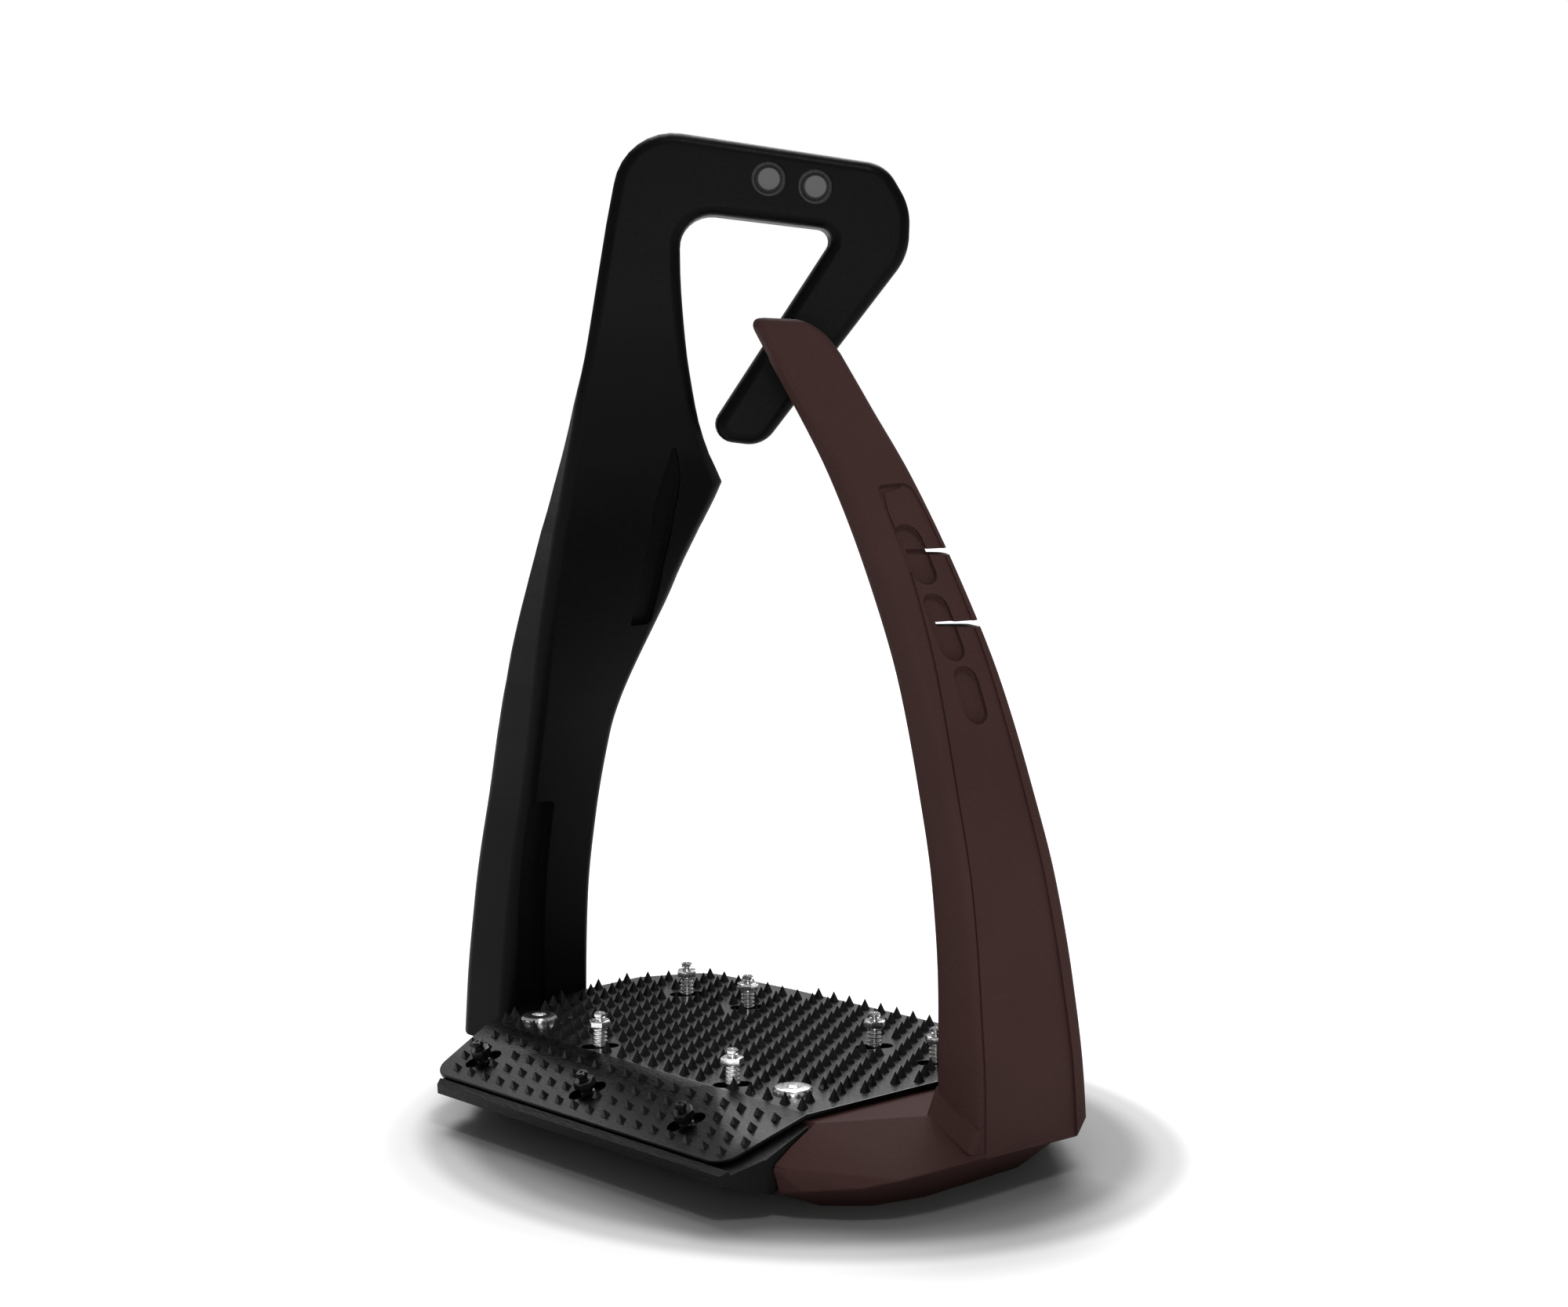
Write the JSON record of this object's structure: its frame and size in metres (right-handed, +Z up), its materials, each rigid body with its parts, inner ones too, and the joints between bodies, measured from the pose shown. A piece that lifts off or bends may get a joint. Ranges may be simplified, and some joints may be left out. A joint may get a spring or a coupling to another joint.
{
  "type": "safety stirrup iron",
  "caption": "Safety stirrup iron with a turned open eye on a rigid black branch, a flexible brown outer branch and a spiked, studded tread plate with a toe flap.",
  "frame": {"origin": "on the flat sole, straight below the middle of the leather's eye", "axes": "+X across the foot from the rigid inner branch to the flexible outer branch, +Y from toe to heel, +Z up"},
  "size_m": [0.1371, 0.0814, 0.1856],
  "materials": {
    "black_frame": "satin black composite",
    "black_strip": "brushed black",
    "brown_shell": "fine grained satin brown",
    "brown_cover": "fine grained satin brown",
    "tread": "black anodised",
    "steel": "brushed",
    "bright_steel": "bright",
    "black_metal": "black oxide",
    "brass": "plain"
  },
  "bodies": {
    "frame": {"inner_branch": "black_frame", "eye_strip": "steel", "base_shell": "brown_shell", "tread_carrier": "black_strip", "tread_plate": "tread", "blade_root": "steel", "root_screw_1": "steel", "root_screw_2": "steel", "sole_screw_1": "steel", "sole_screw_2": "steel", "sole_screw_3": "steel", "tread_screw_1": "bright_steel", "tread_screw_2": "bright_steel", "tread_insert_1": "brass", "tread_insert_2": "brass", "grip_stud_1": "bright_steel", "grip_stud_2": "bright_steel", "grip_stud_3": "bright_steel", "grip_stud_4": "bright_steel", "grip_stud_5": "bright_steel", "grip_stud_6": "bright_steel", "flap_stud_1": "black_metal", "flap_stud_2": "black_metal", "flap_stud_3": "black_metal"},
    "outer_branch": {"outer_branch_core": "brown_shell", "outer_branch_cover": "brown_cover", "spring_blade": "steel"}
  },
  "joints": [
    {"name": "outer_branch_flex", "type": "hinge", "parent": "frame", "child": "outer_branch", "pos_m": [0.0646, 0.0045, 0.0092], "axis": [0, 1, 0], "range_deg": [0, 30], "stiffness_Nm_per_rad": 9}
  ]
}
